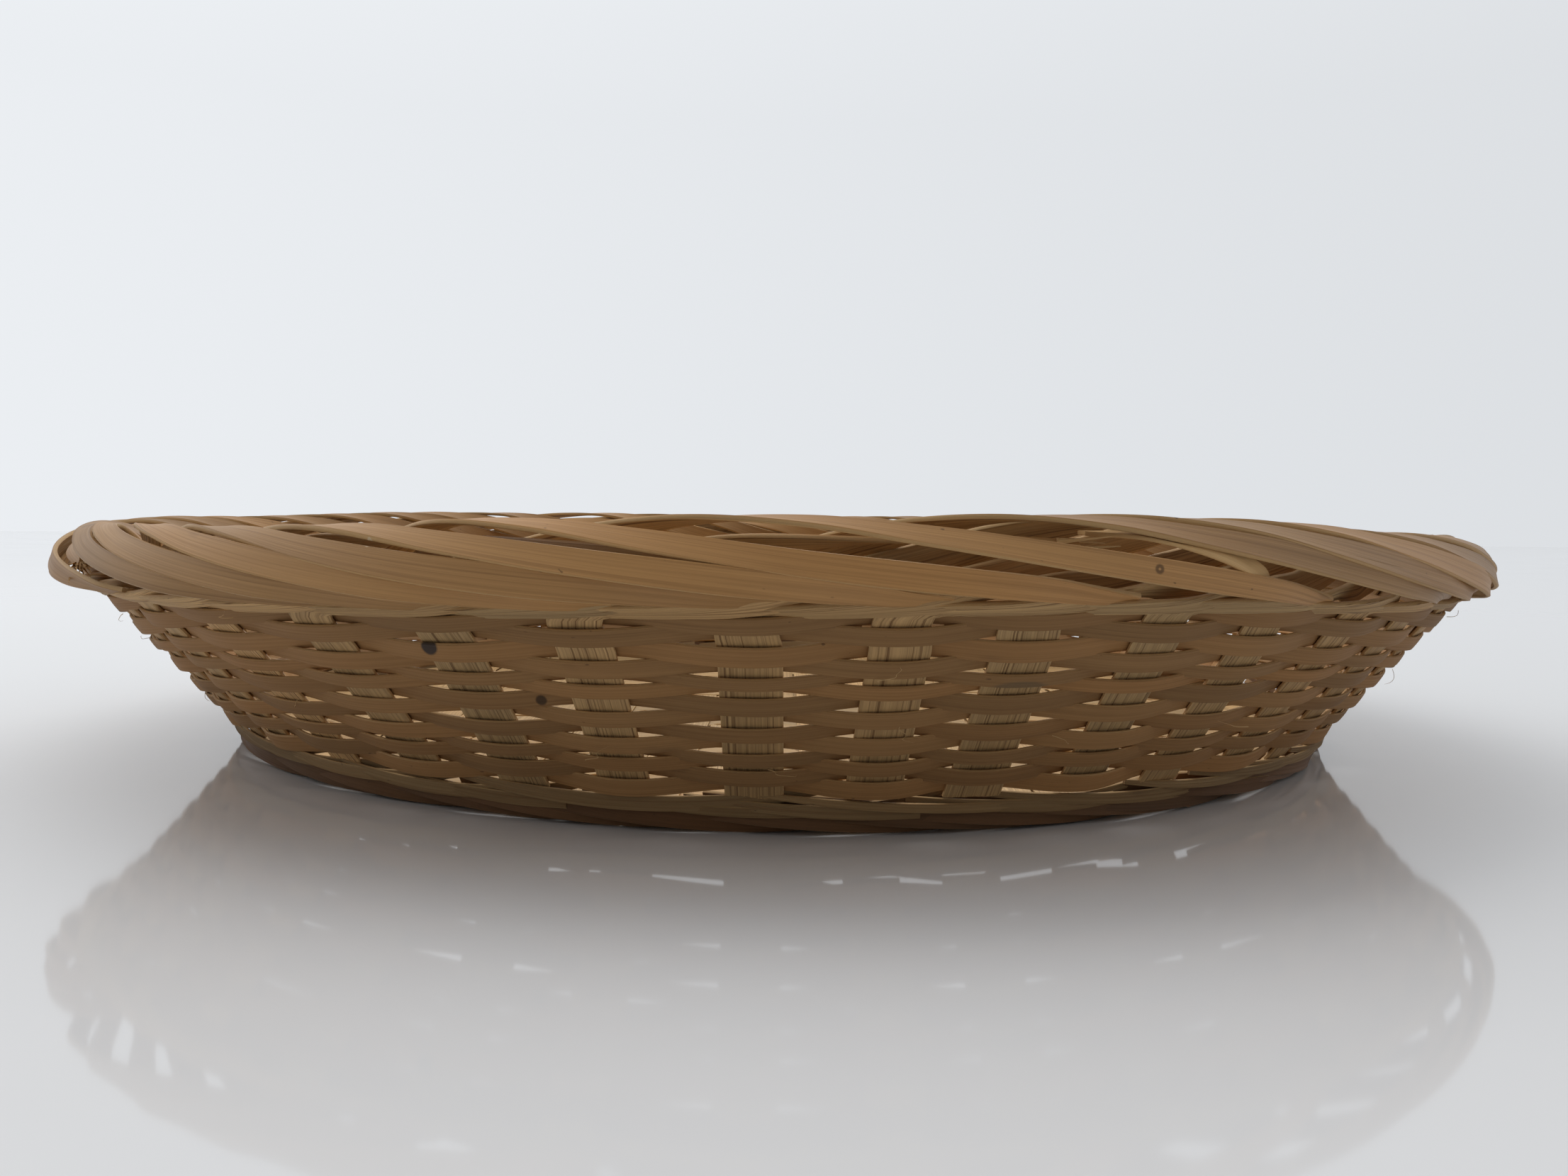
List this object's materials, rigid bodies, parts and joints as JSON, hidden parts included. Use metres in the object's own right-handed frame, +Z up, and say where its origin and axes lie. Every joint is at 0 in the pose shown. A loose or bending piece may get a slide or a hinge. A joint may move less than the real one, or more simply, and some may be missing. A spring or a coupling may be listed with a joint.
{
  "type": "woven bamboo basket",
  "caption": "Shallow round basket of woven split bamboo, with a flared wall, a rolled rim border and a twisted foot ring.",
  "frame": {"origin": "centre of the circle that the basket stands on, on the table plane", "axes": "+Z up through the open mouth; -Y is the side that faces the viewer"},
  "size_m": [0.305, 0.305, 0.048],
  "materials": {
    "rim_strands": "smooth split bamboo, satin, warm tan with fine grain",
    "foot_strands": "split bamboo, matte, darker brown outer strands over pale fibrous ones",
    "stakes": "flat split bamboo, pale straw, upright fibre lines",
    "weavers": "thin split bamboo, satin tan-brown, fine lengthwise grain",
    "base_strips": "flat split bamboo woven mat, matte tan"
  },
  "bodies": {
    "root": {"rim_border": "rim_strands", "foot_border": "foot_strands", "base_mat": "base_strips", "stake_01": "stakes", "stake_02": "stakes", "stake_03": "stakes", "stake_04": "stakes", "stake_05": "stakes", "stake_06": "stakes", "stake_07": "stakes", "stake_08": "stakes", "stake_09": "stakes", "stake_10": "stakes", "stake_11": "stakes", "stake_12": "stakes", "stake_13": "stakes", "stake_14": "stakes", "stake_15": "stakes", "stake_16": "stakes", "stake_17": "stakes", "stake_18": "stakes", "stake_19": "stakes", "stake_20": "stakes", "stake_21": "stakes", "stake_22": "stakes", "stake_23": "stakes", "stake_24": "stakes", "stake_25": "stakes", "stake_26": "stakes", "stake_27": "stakes", "stake_28": "stakes", "stake_29": "stakes", "stake_30": "stakes", "stake_31": "stakes", "stake_32": "stakes", "stake_33": "stakes", "stake_34": "stakes", "stake_35": "stakes", "stake_36": "stakes", "stake_37": "stakes", "stake_38": "stakes", "stake_39": "stakes", "stake_40": "stakes", "stake_41": "stakes", "stake_42": "stakes", "stake_43": "stakes", "weaver_row_01": "weavers", "weaver_row_02": "weavers", "weaver_row_03": "weavers", "weaver_row_04": "weavers", "weaver_row_05": "weavers", "weaver_row_06": "weavers", "weaver_row_07": "weavers", "weaver_row_08": "weavers", "weaver_row_09": "weavers", "weaver_row_10": "weavers", "weaver_row_11": "weavers", "weaver_row_12": "weavers", "weaver_row_13": "weavers", "weaver_row_14": "weavers"}
  },
  "joints": []
}
